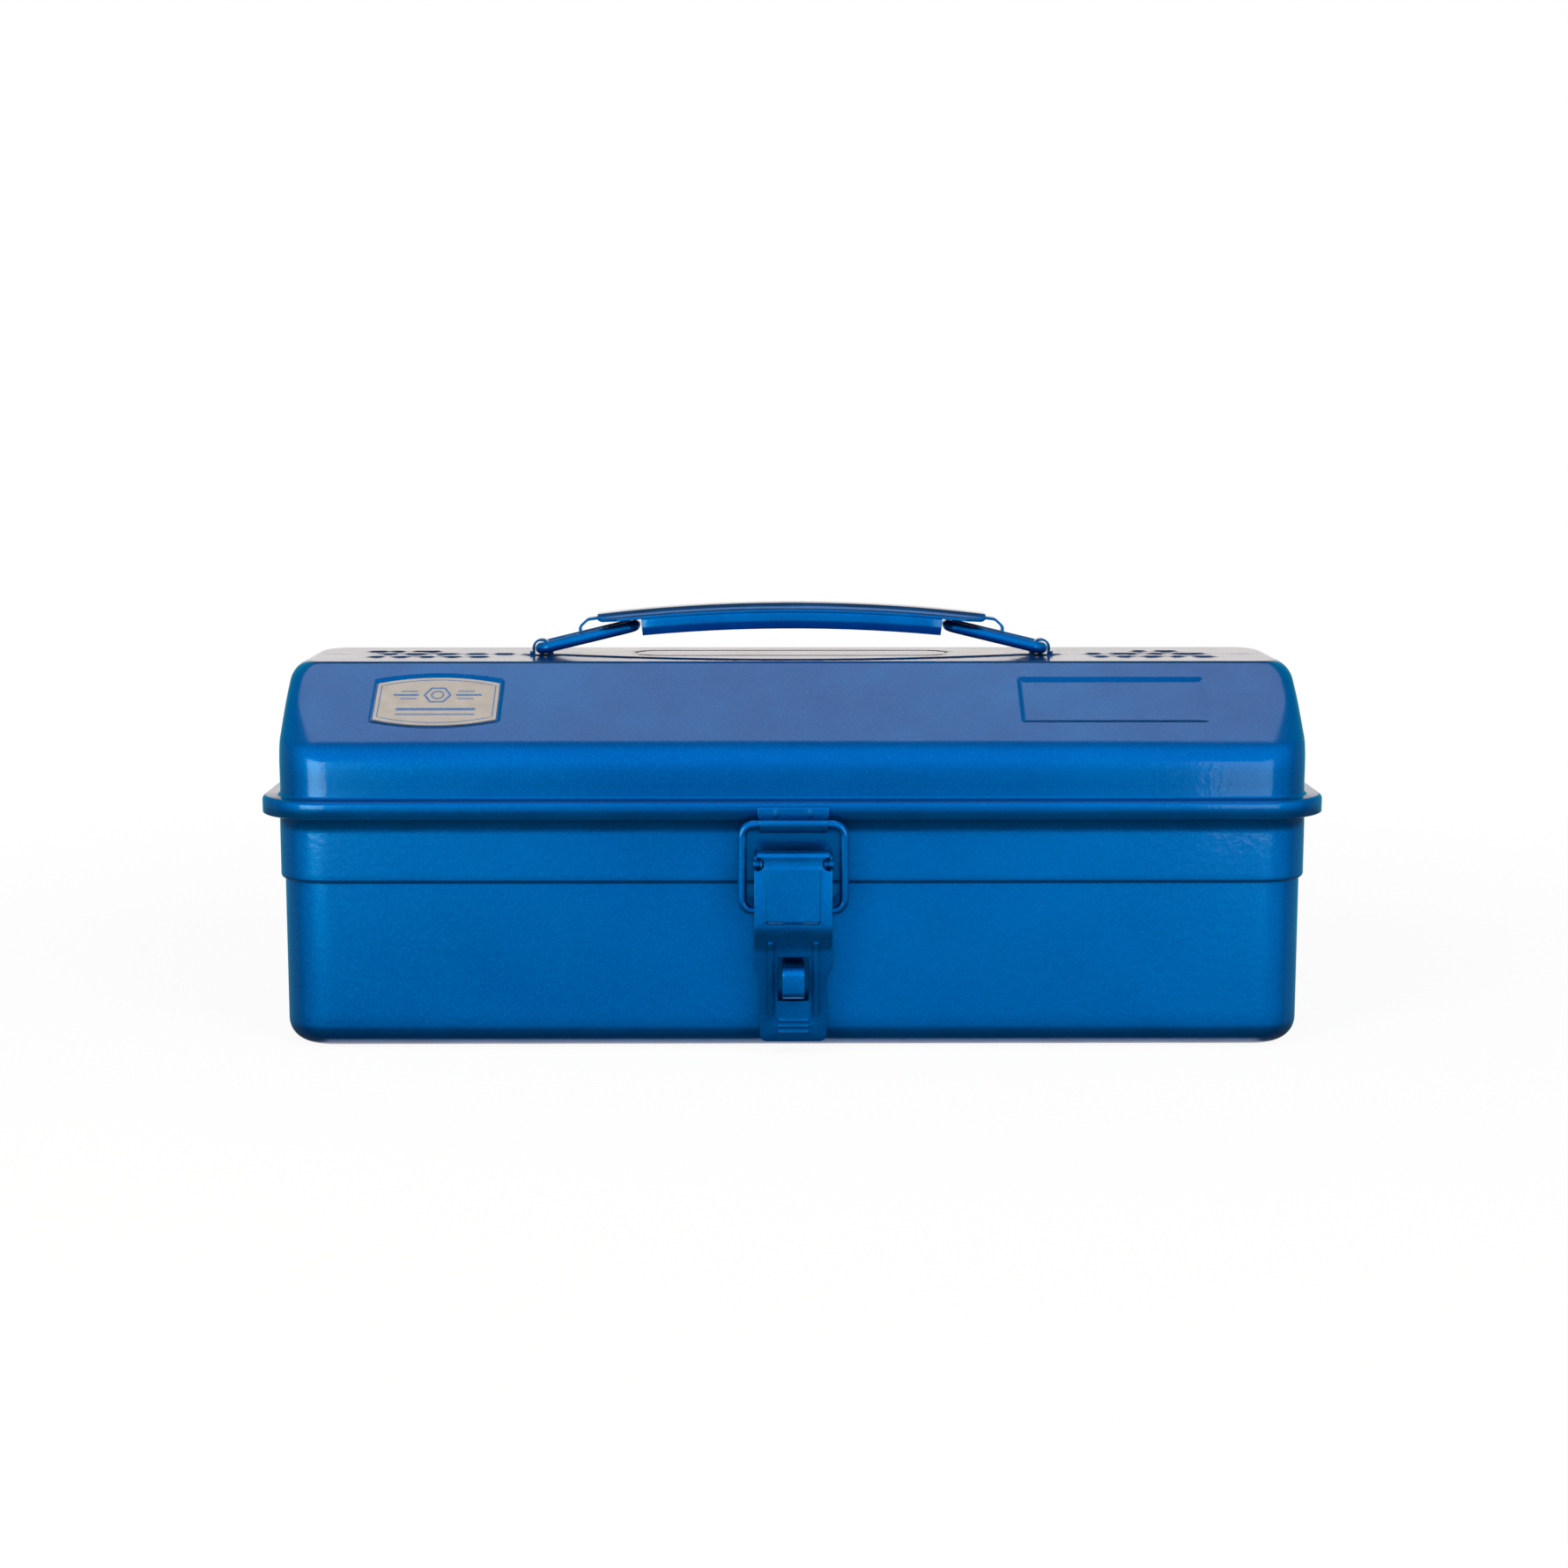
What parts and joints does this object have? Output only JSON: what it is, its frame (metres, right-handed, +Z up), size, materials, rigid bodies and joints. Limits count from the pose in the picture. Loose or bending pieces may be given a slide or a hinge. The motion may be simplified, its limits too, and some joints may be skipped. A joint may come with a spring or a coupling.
{
  "type": "metal tool box",
  "caption": "Rectangular pressed-steel tool box with a domed hinged lid, lift handle, front draw latch and lift-out tray.",
  "frame": {"origin": "centre of the flat bottom of the case", "axes": "+X along the length to the right of the latch, +Y towards the back hinges, +Z up; the latch faces -Y"},
  "size_m": [0.3594, 0.1641, 0.1463],
  "materials": {
    "case_paint": "gloss",
    "lid_paint": "gloss",
    "handle_paint": "gloss",
    "latch_paint": "gloss",
    "plain_steel": "satin",
    "label": "satin",
    "tray_paint": "gloss"
  },
  "bodies": {
    "case": {"case_shell": "case_paint", "latch_base": "case_paint", "latch_pin": "latch_paint", "padlock_staple": "case_paint", "hinge_leaf_case_left": "case_paint", "hinge_leaf_case_right": "case_paint", "hinge_pin_left": "plain_steel", "hinge_pin_right": "plain_steel"},
    "lid": {"lid_shell": "lid_paint", "name_plate": "label", "strike_clip": "lid_paint", "hinge_leaf_lid_left": "lid_paint", "hinge_leaf_lid_right": "lid_paint", "handle_bracket_left": "lid_paint", "handle_bracket_right": "lid_paint"},
    "lever": {"latch_lever": "latch_paint"},
    "bail": {"latch_bail": "latch_paint"},
    "grip": {"handle_grip": "handle_paint"},
    "link_left": {"handle_link_left": "handle_paint"},
    "link_right": {"handle_link_right": "handle_paint"},
    "tray": {"tray_pan": "tray_paint", "tray_loop_left": "tray_paint", "tray_loop_right": "tray_paint"}
  },
  "joints": [
    {"name": "lid_open", "type": "hinge", "parent": "case", "child": "lid", "pos_m": [0, 0.0774, 0.0765], "axis": [-1, 0, 0], "range_deg": [0, 100]},
    {"name": "lever_swing", "type": "hinge", "parent": "case", "child": "lever", "pos_m": [0, -0.07785, 0.065], "axis": [-1, 0, 0], "range_deg": [0, 68]},
    {"name": "bail_swing", "type": "hinge", "parent": "lever", "child": "bail", "pos_m": [0, -0.077, 0.0492], "axis": [-1, 0, 0], "range_deg": [-37, 0]},
    {"name": "handle_lift", "type": "slide", "parent": "lid", "child": "grip", "axis": [0, 0, 1], "range_m": [0, 0.0195]},
    {"name": "link_left_swing", "type": "hinge", "parent": "lid", "child": "link_left", "pos_m": [-0.089, 0, 0.13005], "axis": [0, -1, 0], "range_deg": [0, 39]},
    {"name": "link_right_swing", "type": "hinge", "parent": "lid", "child": "link_right", "pos_m": [0.089, 0, 0.13005], "axis": [0, 1, 0], "range_deg": [0, 39]},
    {"name": "tray_lift", "type": "slide", "parent": "case", "child": "tray", "axis": [0, 0, 1], "range_m": [0, 0.02]}
  ],
  "couplings": [
    {"joint": "bail_swing", "follows": "lever_swing", "ratio": -0.54},
    {"joint": "link_left_swing", "follows": "handle_lift", "rad_per_m": 34.5},
    {"joint": "link_right_swing", "follows": "handle_lift", "rad_per_m": 34.5}
  ]
}
